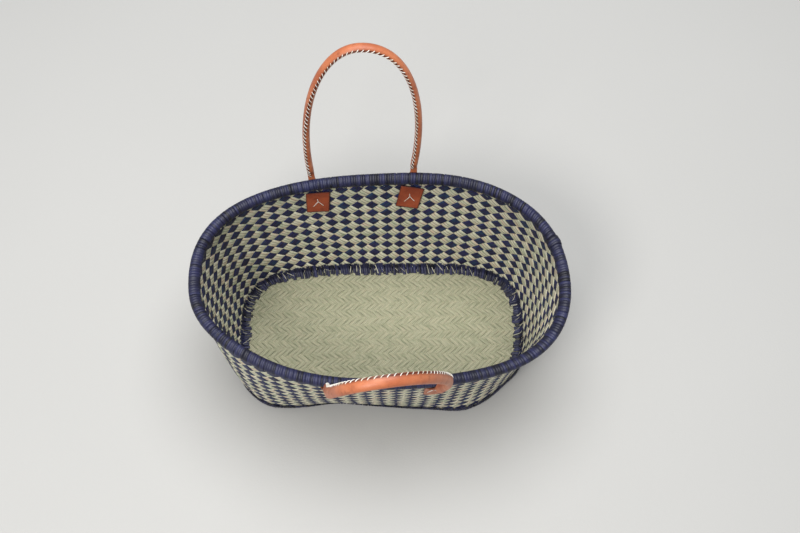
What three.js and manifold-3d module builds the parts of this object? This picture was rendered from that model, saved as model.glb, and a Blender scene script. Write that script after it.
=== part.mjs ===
// Woven shopping basket: an oval plaited basket with a raffia-wrapped rim, a sewn-in
// floor mat and two laced leather handles. Millimetres, +Z up, X along the basket's
// length, origin in the middle of the underside that it stands on.
import * as THREE from 'three';
import { mergeVertices } from 'three/addons/utils/BufferGeometryUtils.js';
import ManifoldModule from 'manifold-3d';

// Driving dimensions of the basket
const overallLength = 580;
const overallWidth = 366;
const basketHeight = 232;
const baseLength = 476;
const baseWidth = 260;
const rimSquareness = 2.22;
const baseSquareness = 3.0;
const wallBelly = 0.85;
const wallThickness = 3.2;
const rimDiameter = 18;
const rimCoreDiameter = 12;
const rimLipLength = 4.5;
const rimLipThickness = 1.5;
const floorThickness = 4.5;
const seamBandWidth = 12;
const seamBandRise = 7;
const seamThickness = 1.6;
const footClearance = 0.6;
const fitGap = 0.3;
const facetAllowance = 0.4;

// Driving dimensions of the handles
const handleHeight = 255;
const handleFootSpacing = 164;
const handleAcross = 11.6;
const handleDeep = 16.2;
const handleLeather = 2.2;
const neckWidth = 15;
const neckThickness = 5.2;
const neckBeadDiameter = 8.4;
const neckLength = 24;
const hingeStandOff = 13.5;
const hingeRise = 8;
// Shoulders and splay are left and right; the seam's angles go from the left foot to the right one
const rearHandle = { name: 'rear', side: 1, centreX: -25, leanDegrees: 10.7, sway: 3.8, shoulders: [62, 75],
  splay: [7, 24], twist: 0, twistLow: 0, seamDegrees: [114, 116, 96, 78, 88, 78, 60, 50, 52] };
const frontHandle = { name: 'front', side: -1, centreX: 3, leanDegrees: 19.2, sway: -5, shoulders: [67, 71],
  splay: [31, -31], twist: 10, twistLow: 11, seamDegrees: [130, 134, 122, 130, 130] };
const lacingWidth = 5;
const lacingThickness = 1;
const lacingPitch = 7.5;

// Driving dimensions of the four attachments
const tongueSpacing = 150;
const tongueWidth = 27;
const tongueThickness = 3;
const tongueReach = 55;
const tongueEndRadius = 8;
const patchWidth = 38;
const patchHeight = 48;
const patchThickness = 2;
const patchDrop = 5;
const threadDiameter = 1.2;
const holeClearance = 0.35;
const stitchHalfSpan = 8.5;

// Facets
const ringStations = 60;
const rimFacets = 9;
const coreFacets = 7;
const threadFacets = 5;

// Sizes that follow from the driving dimensions
const rimRadius = rimDiameter / 2;
const rimCoreRadius = rimCoreDiameter / 2;
const rimBoreRadius = rimCoreRadius + fitGap;
const rimCentreZ = basketHeight - rimRadius;
const wallHalf = wallThickness / 2;
const rimSlotHalf = wallHalf + fitGap;
const wallTopZ = rimCentreZ - rimBoreRadius * 1.08;
const wallFootZ = floorThickness * 0.7;
const hingeZ = rimCentreZ + hingeRise;
const beadRadius = neckBeadDiameter / 2;
const patchCentreZ = rimCentreZ - rimRadius - rimLipLength - patchDrop / 2 - patchHeight / 2 + fitGap;

const wasm = await ManifoldModule();
wasm.setup();

// Surface finishes
const indigoRaffia = { color: 0x35355c, roughness: 0.75, metalness: 0 };
const strawPalm = { color: 0xb9b48a, roughness: 0.8, metalness: 0 };
const floorPalm = { color: 0xa3a27c, roughness: 0.85, metalness: 0 };
const tanLeather = { color: 0xc26a43, roughness: 0.5, metalness: 0 };
const redLeather = { color: 0x96452b, roughness: 0.6, metalness: 0 };
const fibreCore = { color: 0xa08a5e, roughness: 0.9, metalness: 0 };
const waxedThread = { color: 0xe9e4da, roughness: 0.5, metalness: 0 };

// A closed solid from its corner points and triangles, turned to face outwards
function solid(points, triangles) {
  let volume = 0;
  for (const [i, j, k] of triangles) {
    volume += points[i].dot(new THREE.Vector3().crossVectors(points[j], points[k]));
  }
  const ordered = volume < 0 ? triangles.map(([i, j, k]) => [i, k, j]) : triangles;
  const geometry = new THREE.BufferGeometry();
  geometry.setAttribute('position', new THREE.Float32BufferAttribute(points.flatMap((p) => p.toArray()), 3));
  geometry.setIndex(ordered.flat());
  return geometry;
}

// The two triangles between neighbouring corners of two rings
function quad(a, b, c, d) {
  return [[a, b, c], [a, c, d]];
}

// A skin through rings of equally many points: closed into a ring, or capped at both ends
function loft(rings, closed = false) {
  const count = rings[0].length;
  const triangles = [];
  const last = closed ? rings.length : rings.length - 1;
  for (let i = 0; i < last; i++) {
    const here = i * count;
    const next = ((i + 1) % rings.length) * count;
    for (let j = 0; j < count; j++) {
      const k = (j + 1) % count;
      triangles.push(...quad(here + j, here + k, next + k, next + j));
    }
  }
  if (!closed) {
    const end = (rings.length - 1) * count;
    for (let j = 1; j < count - 1; j++) {
      triangles.push([0, j + 1, j]);
      triangles.push([end, end + j, end + j + 1]);
    }
  }
  return solid(rings.flat(), triangles);
}

// Boolean work on closed geometries
function toManifold(geometry) {
  const bare = geometry.clone();
  bare.deleteAttribute('normal');
  bare.deleteAttribute('uv');
  const merged = mergeVertices(bare, 1e-4);
  return new wasm.Manifold(new wasm.Mesh({
    numProp: 3,
    vertProperties: new Float32Array(merged.attributes.position.array),
    triVerts: new Uint32Array(merged.index.array),
  }));
}

function fromManifold(body) {
  const mesh = body.getMesh();
  const geometry = new THREE.BufferGeometry();
  geometry.setAttribute('position', new THREE.Float32BufferAttribute(mesh.vertProperties, 3));
  geometry.setIndex(Array.from(mesh.triVerts));
  return geometry;
}

function cut(geometry, cutters) {
  return fromManifold(cutters.map(toManifold).reduce((all, one) => all.subtract(one), toManifold(geometry)));
}

// The basket's middle surface: an oval that grows and softens from the floor to the rim
function growth(z) {
  return Math.max(z / rimCentreZ, 0) ** wallBelly;
}

function grown(low, high, z) {
  return low + (high - low) * growth(z);
}

// The point at turn t and height z, moved outwards by off; t runs once round in 2 pi
function surface(t, z, off = 0) {
  const a = grown(baseLength / 2, overallLength / 2 - rimRadius, z);
  const b = grown(baseWidth / 2, overallWidth / 2 - rimRadius, z);
  const n = grown(baseSquareness, rimSquareness, z);
  const c = Math.cos(t);
  const s = Math.sin(t);
  const k = (Math.abs(c) ** n + Math.abs(s) ** n) ** (-1 / n);
  const nx = Math.sign(c) * Math.abs(c * k) ** (n - 1) / a;
  const ny = Math.sign(s) * Math.abs(s * k) ** (n - 1) / b;
  const length = Math.hypot(nx, ny);
  return new THREE.Vector3(a * k * c + off * nx / length, b * k * s + off * ny / length, z);
}

// The turn t at which the surface has a given x, on the rear (side 1) or front (side -1)
function turnAt(x, side, z, off) {
  let low = 0;
  let high = Math.PI;
  for (let i = 0; i < 40; i++) {
    const middle = (low + high) / 2;
    if (surface(middle * side, z, off).x > x) low = middle;
    else high = middle;
  }
  return side * (low + high) / 2;
}

// Unit directions on the surface: along it, up it and out of it
function surfaceAxes(t, z) {
  const step = 1e-3;
  const along = surface(t + step, z).sub(surface(t - step, z)).normalize();
  const up = surface(t, z + 1).sub(surface(t, z - 1)).normalize();
  const out = new THREE.Vector3().crossVectors(along, up).normalize();
  return { along, up, out };
}

// A section of [off, z] corners carried once round the basket
function hoop(section) {
  const rings = [];
  for (let i = 0; i < ringStations; i++) {
    const t = 2 * Math.PI * i / ringStations;
    rings.push(section.map(([off, z]) => surface(t, z, off)));
  }
  return loft(rings, true);
}

// Corners of an arc in [off, z], from one angle to another
function arc(radius, fromDegrees, toDegrees, steps, centreZ = rimCentreZ) {
  const corners = [];
  for (let i = 0; i <= steps; i++) {
    const angle = THREE.MathUtils.degToRad(fromDegrees + (toDegrees - fromDegrees) * i / steps);
    corners.push([radius * Math.cos(angle), centreZ + radius * Math.sin(angle)]);
  }
  return corners;
}

// The plaited wall
function makeWall() {
  const levels = 7;
  const crowding = 1.6;
  const outer = [];
  for (let i = 0; i < levels; i++) {
    outer.push(wallFootZ + (wallTopZ - wallFootZ) * (i / (levels - 1)) ** crowding);
  }
  const section = [
    ...outer.map((z) => [wallHalf, z]),
    ...outer.toReversed().map((z) => [-wallHalf, z]),
  ];
  return hoop(section);
}

// The floor mat, which the basket stands on
function makeFloor() {
  const edge = -wallHalf - fitGap - seamThickness - fitGap;
  const rings = [0, floorThickness].map((z) => {
    const ring = [];
    for (let i = 0; i < ringStations; i++) ring.push(surface(2 * Math.PI * i / ringStations, 0, edge).setZ(z));
    return ring;
  });
  return loft(rings);
}

// The raffia lashing that grips the wall's foot and laps onto the floor mat's edge
function makeSeam() {
  const inner = -wallHalf - fitGap;
  const outer = wallHalf + fitGap;
  const bandZ = floorThickness + fitGap;
  return hoop([
    [outer + seamThickness * 0.7, footClearance],
    [outer + seamThickness, wallFootZ],
    [outer, wallFootZ + seamBandRise * 0.6],
    [outer, wallFootZ - fitGap],
    [inner, wallFootZ - fitGap],
    [inner, bandZ + seamBandRise],
    [inner - seamThickness * 1.4, bandZ + seamThickness * 1.3],
    [inner - seamBandWidth, bandZ],
    [inner - seamThickness, bandZ],
    [inner - seamThickness, footClearance],
  ]);
}

// The rim: a fibre core under a raffia wrap whose two lips hold the wall's top edge
function makeRimCore() {
  const half = 180 / coreFacets;
  return hoop(arc(rimCoreRadius, -90 + half, 270 - half, coreFacets - 1));
}

function makeRimWrap() {
  const slotAngle = THREE.MathUtils.radToDeg(Math.asin(rimSlotHalf / rimBoreRadius));
  const lipOut = rimSlotHalf + rimLipThickness;
  const lipAngle = THREE.MathUtils.radToDeg(Math.asin(lipOut / rimRadius)) + 8;
  const lipZ = rimCentreZ - rimRadius - rimLipLength;
  return hoop([
    [rimSlotHalf, lipZ],
    [lipOut, lipZ],
    ...arc(rimRadius, -90 + lipAngle, 270 - lipAngle, rimFacets),
    [-lipOut, lipZ],
    [-rimSlotHalf, lipZ],
    ...arc(rimBoreRadius * 1.08, 270 - slotAngle, -90 + slotAngle, coreFacets),
  ]);
}

// The feet of a handle, on its hinge line
function handleFoot(handle, direction) {
  const x = handle.centreX + direction * handleFootSpacing / 2;
  const t = turnAt(x, handle.side, hingeZ, hingeStandOff);
  return surface(t, hingeZ, hingeStandOff);
}

// Where a handle stands: the middle of its hinge line, the turn of that line and half its length
function handlePlace(handle) {
  const right = handleFoot(handle, handle.side);
  const left = handleFoot(handle, -handle.side);
  const line = right.clone().sub(left);
  return {
    middle: left.clone().add(right).multiplyScalar(0.5),
    yaw: Math.atan2(line.y, line.x),
    half: line.length() / 2,
  };
}

// A handle's centre line in its own frame: x along the hinge line, y outwards, z up the handle
function handlePath(handle, half) {
  const top = handleHeight;
  const sway = handle.sway;
  const low = handle.twistLow;
  const high = handle.twist;
  const [leftShoulder, rightShoulder] = handle.shoulders;
  const [leftSplay, rightSplay] = handle.splay;
  const point = (x, y, z) => new THREE.Vector3(x, y, z);
  const path = new THREE.CurvePath();
  const apex = point(sway, 0, top);
  path.add(new THREE.LineCurve3(point(-half, 0, 0), point(-half, 0, neckLength * 0.6)));
  path.add(new THREE.CubicBezierCurve3(
    point(-half, 0, neckLength * 0.6),
    point(-half - leftSplay, -low, top * 0.6),
    point(sway - leftShoulder, -high, top),
    apex,
  ));
  path.add(new THREE.CubicBezierCurve3(
    apex,
    point(sway + rightShoulder, high, top),
    point(half + rightSplay, low, top * 0.6),
    point(half, 0, neckLength * 0.6),
  ));
  path.add(new THREE.LineCurve3(point(half, 0, neckLength * 0.6), point(half, 0, 0)));
  return path;
}

// Half sizes of the handle's section at a distance from its hinge line
function handleSection(distance) {
  if (distance < neckThickness / 2) {
    const bead = Math.sqrt(Math.max(beadRadius ** 2 - distance ** 2, 0));
    return { across: neckWidth / 2, deep: Math.max(bead, beadRadius / 5) };
  }
  const k = THREE.MathUtils.smoothstep(distance, beadRadius, neckLength);
  return {
    across: THREE.MathUtils.lerp(neckWidth, handleAcross, k) / 2,
    deep: THREE.MathUtils.lerp(neckThickness, handleDeep, k) / 2,
  };
}

// The angle of the handle's seam, from the arch's inside towards the basket's inside
function seamAngle(handle, u) {
  const angles = handle.seamDegrees;
  const place = u * (angles.length - 1);
  const i = Math.min(Math.floor(place), angles.length - 2);
  const k = THREE.MathUtils.smoothstep(place - i, 0, 1);
  return THREE.MathUtils.degToRad(THREE.MathUtils.lerp(angles[i], angles[i + 1], k));
}

// Stations along a handle: close together on the beads and necks, even round the arch
function handleStations(handle, half) {
  const path = handlePath(handle, half);
  const length = path.getLength();
  const neckSteps = [-0.97, -0.7, -0.25, 0.25, 0.62].map((k) => k * beadRadius)
    .concat([0.2, 0.38, 0.56, 0.76, 1].map((k) => k * neckLength));
  const archSteps = 23;
  const distances = [...neckSteps];
  for (let i = 1; i < archSteps; i++) {
    distances.push(neckLength + (length - 2 * neckLength) * i / archSteps);
  }
  distances.push(...neckSteps.toReversed().map((d) => length - d));
  return distances.map((distance) => {
    const u = THREE.MathUtils.clamp(distance / length, 0, 1);
    const centre = path.getPointAt(u);
    const tangent = path.getTangentAt(u);
    centre.addScaledVector(tangent, distance - u * length);
    const inward = new THREE.Vector3(0, -1, 0);
    const across = new THREE.Vector3().crossVectors(tangent, inward).normalize();
    const deep = new THREE.Vector3().crossVectors(across, tangent).normalize();
    const size = handleSection(Math.min(distance, length - distance));
    return { distance, length, centre, tangent, across, deep, size, seam: seamAngle(handle, u) };
  });
}

// A point on the handle's oval, at an angle and moved outwards by off
function ovalPoint(station, angle, off = 0) {
  const x = (station.size.across + off) * Math.cos(angle);
  const y = (station.size.deep + off) * Math.sin(angle);
  return station.centre.clone().addScaledVector(station.across, x).addScaledVector(station.deep, y);
}

// True where the leather is a hollow sleeve over the rope, false where it lies flat
function isHollow(station) {
  return Math.min(station.distance, station.length - station.distance) >= neckLength * 0.75;
}

// The leather sleeve: an open seam along the rope, flattened solid necks and rounded ends
const sleeveFacets = 12;
const boreFacets = 8;
const seamHalfAngle = 0.1;

function makeSleeve(handle, half) {
  const stations = handleStations(handle, half);
  const points = [];
  const triangles = [];
  const rings = stations.map((station) => {
    const ring = { outer: [], bore: [] };
    const slit = isHollow(station);
    for (let j = 0; j < sleeveFacets; j++) {
      const spread = 2 * (Math.PI - seamHalfAngle) * j / (sleeveFacets - 1);
      ring.outer.push(points.push(ovalPoint(station, station.seam + seamHalfAngle + spread)) - 1);
    }
    for (let j = 0; slit && j < boreFacets; j++) {
      const spread = 2 * (Math.PI - seamHalfAngle) * j / (boreFacets - 1);
      ring.bore.push(points.push(ovalPoint(station, station.seam + seamHalfAngle + spread, -handleLeather)) - 1);
    }
    return ring;
  });
  const boreFace = (ring) => {
    const outline = [...ring.bore, ring.outer.at(-1), ring.outer[0]];
    const flat = outline.map((index) => points[index]);
    const origin = flat[0];
    const station = stations[rings.indexOf(ring)];
    const plane = flat.map((p) => new THREE.Vector2(
      p.clone().sub(origin).dot(station.across), p.clone().sub(origin).dot(station.deep)));
    return THREE.ShapeUtils.triangulateShape(plane, []).map((face) => face.map((i) => outline[i]));
  };
  const turned = (faces) => faces.map(([i, j, k]) => [i, k, j]);
  for (let i = 0; i + 1 < rings.length; i++) {
    const here = rings[i];
    const next = rings[i + 1];
    for (let j = 0; j + 1 < sleeveFacets; j++) {
      triangles.push(...quad(here.outer[j], here.outer[j + 1], next.outer[j + 1], next.outer[j]));
    }
    const end = sleeveFacets - 1;
    if (here.bore.length && next.bore.length) {
      for (let j = 0; j + 1 < boreFacets; j++) {
        triangles.push(...quad(here.bore[j], next.bore[j], next.bore[j + 1], here.bore[j + 1]));
      }
      triangles.push(...quad(here.outer[end], here.bore.at(-1), next.bore.at(-1), next.outer[end]));
      triangles.push(...quad(here.bore[0], here.outer[0], next.outer[0], next.bore[0]));
    } else {
      triangles.push(...quad(here.outer[end], here.outer[0], next.outer[0], next.outer[end]));
    }
  }
  const firstOpen = rings.find((ring) => ring.bore.length);
  const lastOpen = rings.findLast((ring) => ring.bore.length);
  triangles.push(...orientedFace(boreFace(firstOpen), points, stations[rings.indexOf(firstOpen)], -1));
  triangles.push(...orientedFace(boreFace(lastOpen), points, stations[rings.indexOf(lastOpen)], 1));
  const first = rings[0].outer;
  const final = rings.at(-1).outer;
  for (let j = 1; j + 1 < sleeveFacets; j++) {
    triangles.push(...turned([[first[0], first[j], first[j + 1]]]));
    triangles.push([final[0], final[j], final[j + 1]]);
  }
  return solid(points, triangles);
}

// Faces of a flat end, turned to match the skin that they close
function orientedFace(faces, points, station, direction) {
  return faces.map(([i, j, k]) => {
    const edge = points[j].clone().sub(points[i]);
    const normal = edge.cross(points[k].clone().sub(points[i]));
    return Math.sign(normal.dot(station.tangent)) === direction ? [i, j, k] : [i, k, j];
  });
}

// The rope inside the sleeve
function makeHandleCore(handle, half) {
  const inset = -handleLeather - fitGap * 1.3;
  const stations = handleStations(handle, half).filter(isHollow);
  stations[0].centre.addScaledVector(stations[0].tangent, fitGap);
  stations.at(-1).centre.addScaledVector(stations.at(-1).tangent, -fitGap);
  return loft(stations.map((station) => {
    const ring = [];
    for (let j = 0; j < boreFacets - 1; j++) {
      const spread = 2 * (Math.PI - seamHalfAngle) * j / (boreFacets - 1);
      ring.push(ovalPoint(station, station.seam + seamHalfAngle + spread, inset));
    }
    return ring;
  }));
}

// The lacing along the seam: a flat strip whose edges swing with each slanted stitch
function makeLacing(handle, half) {
  const stations = handleStations(handle, half).filter(isHollow);
  const rings = [];
  const sitting = fitGap * 1.8;
  const waist = lacingWidth * 0.55;
  const strip = (station, halfWidth) => {
    const reach = halfWidth / station.size.across;
    return [
      ovalPoint(station, station.seam - reach, sitting),
      ovalPoint(station, station.seam, sitting + lacingThickness * 0.2),
      ovalPoint(station, station.seam + reach, sitting),
      ovalPoint(station, station.seam, sitting + lacingThickness),
    ];
  };
  for (let i = 0; i + 1 < stations.length; i++) {
    const from = stations[i];
    const to = stations[i + 1];
    const stitches = Math.max(1, Math.round((to.distance - from.distance) / lacingPitch));
    for (let j = 0; j < 2 * stitches; j++) {
      const k = j / (2 * stitches);
      const halfWidth = (j % 2 ? lacingWidth : waist) / 2;
      const start = strip(from, halfWidth);
      const end = strip(to, halfWidth);
      rings.push(start.map((p, n) => p.lerp(end[n], k)));
    }
  }
  rings.push(strip(stations.at(-1), waist / 2));
  return loft(rings);
}

// Where an attachment sits on the wall: the turn t of its top and of its middle
function attachment(handle, direction) {
  const topX = handle.centreX + direction * handleFootSpacing / 2;
  const lowX = handle.centreX + direction * tongueSpacing / 2;
  return {
    topTurn: turnAt(topX, handle.side, hingeZ, hingeStandOff),
    turn: turnAt(lowX, handle.side, patchCentreZ, wallHalf),
  };
}

// Straight pieces along the wall's outward direction at an attachment, for holes and thread
function acrossWall(place, x, z, radius, from, to) {
  const { along, up, out } = surfaceAxes(place.turn, patchCentreZ);
  const centre = surface(place.turn, patchCentreZ);
  const start = centre.clone().addScaledVector(along, x).addScaledVector(up, z).addScaledVector(out, from);
  return rod(start, start.clone().addScaledVector(out, to - from), radius);
}

// A faceted rod between two points
function rod(start, end, radius) {
  const direction = end.clone().sub(start);
  const geometry = new THREE.CylinderGeometry(radius, radius, direction.length(), threadFacets);
  geometry.applyQuaternion(new THREE.Quaternion().setFromUnitVectors(
    new THREE.Vector3(0, 1, 0), direction.clone().normalize()));
  const middle = start.clone().add(end).multiplyScalar(0.5);
  return geometry.translate(middle.x, middle.y, middle.z);
}

// The three thread holes of an attachment, as [x, z] on the wall
const stitchHoles = [[0, stitchHalfSpan], [-stitchHalfSpan, -stitchHalfSpan], [stitchHalfSpan, -stitchHalfSpan]];

function holeCutters(place) {
  const reach = (wallHalf + tongueThickness + patchThickness) * 2;
  return stitchHoles.map(([x, z]) => acrossWall(place, x, z, threadDiameter / 2 + holeClearance, -reach, reach));
}

// The flat tongue of a handle's leather, from its hinge line down the outside of the wall
function makeTongue(handle, place, hingeDirection) {
  const thick = tongueThickness;
  const half = thick / 2;
  const seat = wallHalf + 2 * fitGap + half;
  const lipSeat = rimSlotHalf + rimLipThickness + 2 * fitGap + half;
  const rimSeat = rimRadius + 2 * fitGap + half;
  const tip = beadRadius + fitGap;
  const lipEnd = rimCentreZ - rimRadius - rimLipLength;
  const lowEnd = patchCentreZ + patchHeight / 2 - tongueReach;
  const flare = (share) => THREE.MathUtils.lerp(neckWidth, tongueWidth, share);
  // The rounded end: its width at a height above the tongue's lowest edge
  const endWidth = (height) => {
    const short = tongueEndRadius - height;
    return tongueWidth - 2 * (tongueEndRadius - Math.sqrt(tongueEndRadius ** 2 - short ** 2));
  };
  const endStation = (share) => [seat, lowEnd + tongueEndRadius * share, endWidth(tongueEndRadius * share), thick, 0];
  // Each station: off, z, width, thickness and how far it has turned to the hinge line
  const stations = [
    [hingeStandOff - thick * 0.3, hingeZ - tip, neckWidth, thick * 0.47, 1],
    [hingeStandOff - thick * 0.63, hingeZ - tip - thick * 0.9, flare(0.2), thick * 0.87, 0.9],
    [rimSeat, rimCentreZ - rimRadius * 0.28, flare(0.55), thick, 0.7],
    [rimSeat * 0.84, rimCentreZ - rimRadius * 0.89, flare(0.85), thick, 0.4],
    [lipSeat + thick * 0.3, lipEnd + rimLipLength * 0.4, tongueWidth, thick, 0.1],
    [seat + thick * 0.27, lipEnd - rimLipLength, tongueWidth, thick, 0],
    [seat, patchCentreZ + stitchHalfSpan, tongueWidth, thick, 0],
    [seat, patchCentreZ - stitchHalfSpan, tongueWidth, thick, 0],
    endStation(0.5),
    endStation(0.12),
    endStation(0),
  ];
  const centres = stations.map(([off, z]) => {
    const k = THREE.MathUtils.smoothstep(z, patchCentreZ + stitchHalfSpan, hingeZ - tip);
    return surface(THREE.MathUtils.lerp(place.turn, place.topTurn, k), z, off);
  });
  const rings = stations.map(([, z, width, thickness, turned], i) => {
    const k = THREE.MathUtils.smoothstep(z, patchCentreZ + stitchHalfSpan, hingeZ - tip);
    const wallAlong = surfaceAxes(THREE.MathUtils.lerp(place.turn, place.topTurn, k), z).along;
    const hingeAlong = hingeDirection.clone().multiplyScalar(Math.sign(hingeDirection.dot(wallAlong)));
    const along = wallAlong.lerp(hingeAlong, turned).normalize();
    const travel = centres[Math.min(i + 1, centres.length - 1)].clone().sub(centres[Math.max(i - 1, 0)]);
    const out = new THREE.Vector3().crossVectors(travel, along).normalize();
    const edge = 0.22 * thickness;
    const corners = [
      [width / 2, -thickness / 2 + edge], [width / 2, thickness / 2 - edge],
      [width / 2 - edge, thickness / 2], [-width / 2 + edge, thickness / 2],
      [-width / 2, thickness / 2 - edge], [-width / 2, -thickness / 2 + edge],
      [-width / 2 + edge, -thickness / 2], [width / 2 - edge, -thickness / 2],
    ];
    return corners.map(([x, y]) => centres[i].clone().addScaledVector(along, x).addScaledVector(out, y));
  });
  return cut(loft(rings), holeCutters(place));
}

// The leather square that backs the tongue on the inside of the wall
function makePatch(place) {
  const outer = -wallHalf - fitGap - facetAllowance;
  const inner = outer - patchThickness;
  const columns = 4;
  const rows = 3;
  const halfTurn = (() => {
    const step = 1e-3;
    const width = surface(place.turn + step, patchCentreZ).distanceTo(surface(place.turn - step, patchCentreZ));
    return patchWidth * step / width;
  })();
  const rings = [];
  for (let i = 0; i <= columns; i++) {
    const t = place.turn + halfTurn * (2 * i / columns - 1);
    const ring = [];
    const levels = [];
    for (let j = 0; j <= rows; j++) levels.push(patchCentreZ + patchHeight * (j / rows - 0.5));
    for (const z of levels) ring.push(surface(t, z, outer));
    for (const z of levels.toReversed()) ring.push(surface(t, z, inner));
    rings.push(ring);
  }
  return cut(loft(rings), holeCutters(place));
}

// One length of thread along a run of points, with its corners cut
function thread(points, radius) {
  const bevel = radius * 1.4;
  const toward = (from, to) => from.clone().addScaledVector(to.clone().sub(from).normalize(), bevel);
  const run = points.flatMap((p, i) => (i === 0 || i === points.length - 1
    ? [p] : [toward(p, points[i - 1]), toward(p, points[i + 1])]));
  let side = new THREE.Vector3(0.3, 0.2, 1);
  return loft(run.map((p, i) => {
    const travel = run[Math.min(i + 1, run.length - 1)].clone().sub(run[Math.max(i - 1, 0)]).normalize();
    side = side.clone().addScaledVector(travel, -side.dot(travel)).normalize();
    const other = new THREE.Vector3().crossVectors(travel, side);
    const ring = [];
    for (let j = 0; j < threadFacets; j++) {
      const angle = 2 * Math.PI * j / threadFacets;
      ring.push(p.clone().addScaledVector(side, radius * Math.cos(angle))
        .addScaledVector(other, radius * Math.sin(angle)));
    }
    return ring;
  }));
}

// The waxed thread of one attachment: a three-armed star inside, two long stitches outside
function makeStitch(place) {
  const radius = threadDiameter / 2;
  const { along, up, out } = surfaceAxes(place.turn, patchCentreZ);
  const centre = surface(place.turn, patchCentreZ);
  const at = ([x, z], y) => centre.clone()
    .addScaledVector(along, x).addScaledVector(up, z).addScaledVector(out, y);
  const inside = -wallHalf - fitGap - facetAllowance - patchThickness - 2 * fitGap - radius;
  const outside = wallHalf + 2 * fitGap + tongueThickness + fitGap + radius;
  const [top, left, right] = stitchHoles;
  return thread([
    at([0, threadDiameter * 1.3], inside), at(top, inside), at(top, outside),
    at(left, outside), at(left, inside), at([0, -threadDiameter * 0.4], inside),
    at(right, inside), at(right, outside), at([threadDiameter * 1.3, stitchHalfSpan * 0.8], outside),
  ], radius);
}

const basket = new THREE.Group();

function addPiece(parent, name, geometry, finish) {
  const mesh = new THREE.Mesh(geometry, new THREE.MeshStandardMaterial(finish));
  mesh.name = name;
  parent.add(mesh);
  return mesh;
}

// The fixed basket
const attachments = [];
for (const handle of [rearHandle, frontHandle]) {
  for (const [word, direction] of [['left', -1], ['right', 1]]) {
    attachments.push({ handle, name: `${handle.name}_${word}`, place: attachment(handle, direction) });
  }
}
addPiece(basket, 'floor_mat', makeFloor(), floorPalm);
addPiece(basket, 'base_seam', makeSeam(), indigoRaffia);
addPiece(basket, 'wall_weave', cut(makeWall(), attachments.flatMap(({ place }) => holeCutters(place))), strawPalm);
addPiece(basket, 'rim_core', makeRimCore(), fibreCore);
addPiece(basket, 'rim_wrap', makeRimWrap(), indigoRaffia);
for (const { handle, name, place } of attachments) {
  const hingeDirection = new THREE.Vector3(1, 0, 0).applyAxisAngle(
    new THREE.Vector3(0, 0, 1), handlePlace(handle).yaw);
  addPiece(basket, `${name}_tongue`, makeTongue(handle, place, hingeDirection), tanLeather);
  addPiece(basket, `${name}_patch`, makePatch(place), redLeather);
  addPiece(basket, `${name}_stitch`, makeStitch(place), waxedThread);
}

// The two handles, each in a group that stands on its hinge line and leans outwards
for (const handle of [rearHandle, frontHandle]) {
  const place = handlePlace(handle);
  const stand = new THREE.Group();
  stand.position.copy(place.middle);
  stand.rotation.z = place.yaw;
  const lean = new THREE.Group();
  lean.rotation.x = -THREE.MathUtils.degToRad(handle.leanDegrees);
  stand.add(lean);
  basket.add(stand);
  addPiece(lean, `${handle.name}_handle_sleeve`, makeSleeve(handle, place.half), tanLeather);
  addPiece(lean, `${handle.name}_handle_core`, makeHandleCore(handle, place.half), fibreCore);
  addPiece(lean, `${handle.name}_handle_lacing`, makeLacing(handle, place.half), waxedThread);
}

export default basket;
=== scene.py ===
import math
from types import SimpleNamespace

import bpy
import bmesh
import numpy as np
from mathutils import Matrix, Vector


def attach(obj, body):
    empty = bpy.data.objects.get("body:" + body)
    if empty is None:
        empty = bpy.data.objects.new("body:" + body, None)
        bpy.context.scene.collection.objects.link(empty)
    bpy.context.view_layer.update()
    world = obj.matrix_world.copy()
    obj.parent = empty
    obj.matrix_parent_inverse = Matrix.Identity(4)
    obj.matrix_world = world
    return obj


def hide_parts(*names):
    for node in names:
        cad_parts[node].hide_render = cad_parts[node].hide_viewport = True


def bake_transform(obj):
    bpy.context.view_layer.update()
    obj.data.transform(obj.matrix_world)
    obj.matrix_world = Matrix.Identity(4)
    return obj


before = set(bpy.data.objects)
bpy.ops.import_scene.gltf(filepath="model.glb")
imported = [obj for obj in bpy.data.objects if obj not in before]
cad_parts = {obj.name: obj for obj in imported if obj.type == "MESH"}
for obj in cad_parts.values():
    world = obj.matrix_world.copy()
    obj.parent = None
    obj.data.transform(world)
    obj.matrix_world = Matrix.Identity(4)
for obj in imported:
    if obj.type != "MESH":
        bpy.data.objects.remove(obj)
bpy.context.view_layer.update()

MM = 0.001


def lengths(*millimetres):
    return tuple(value * MM for value in millimetres)


# The basket's sizes, as in the solids
OVERALL_LENGTH = 580 * MM
OVERALL_WIDTH = 366 * MM
BASKET_HEIGHT = 232 * MM
BASE_LENGTH = 476 * MM
BASE_WIDTH = 260 * MM
WALL_BELLY = 0.85
WALL_HALF = 1.6 * MM
RIM_RADIUS = 9 * MM
RIM_LIP_LENGTH = 4.5 * MM
RIM_CENTRE_Z = BASKET_HEIGHT - RIM_RADIUS
WALL_TOP_Z = 216.2 * MM
WALL_FOOT_Z = 3.15 * MM
FIT_GAP = 0.3 * MM
# A little squarer than in the solids
RIM_SQUARENESS = 2.34
BASE_SQUARENESS = 3.8

# Dents and swells in the front foot: how far it is pushed back, where along X, and how wide
FOOT_PUSHES = [lengths(*push) for push in (
    (14, -76, 54), (5.5, 0, 50), (-10, 134, 42), (-5, -190, 30), (8, 210, 28))]
FOOT_PUSH_HEIGHT = 130 * MM
FOOT_PUSH_FRONT = -10.0
# Where the rim is slack or bulges: the turn, how far it is pulled in, and how narrow the place is
RIM_PULLS = [(math.radians(turn), depth * MM, sharpness) for turn, depth, sharpness in (
    (218, 10, 14), (238, 3, 14), (62, -5.5, 14), (146, -3.5, 14), (18, 3, 20), (322, -7.5, 12))]
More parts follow.
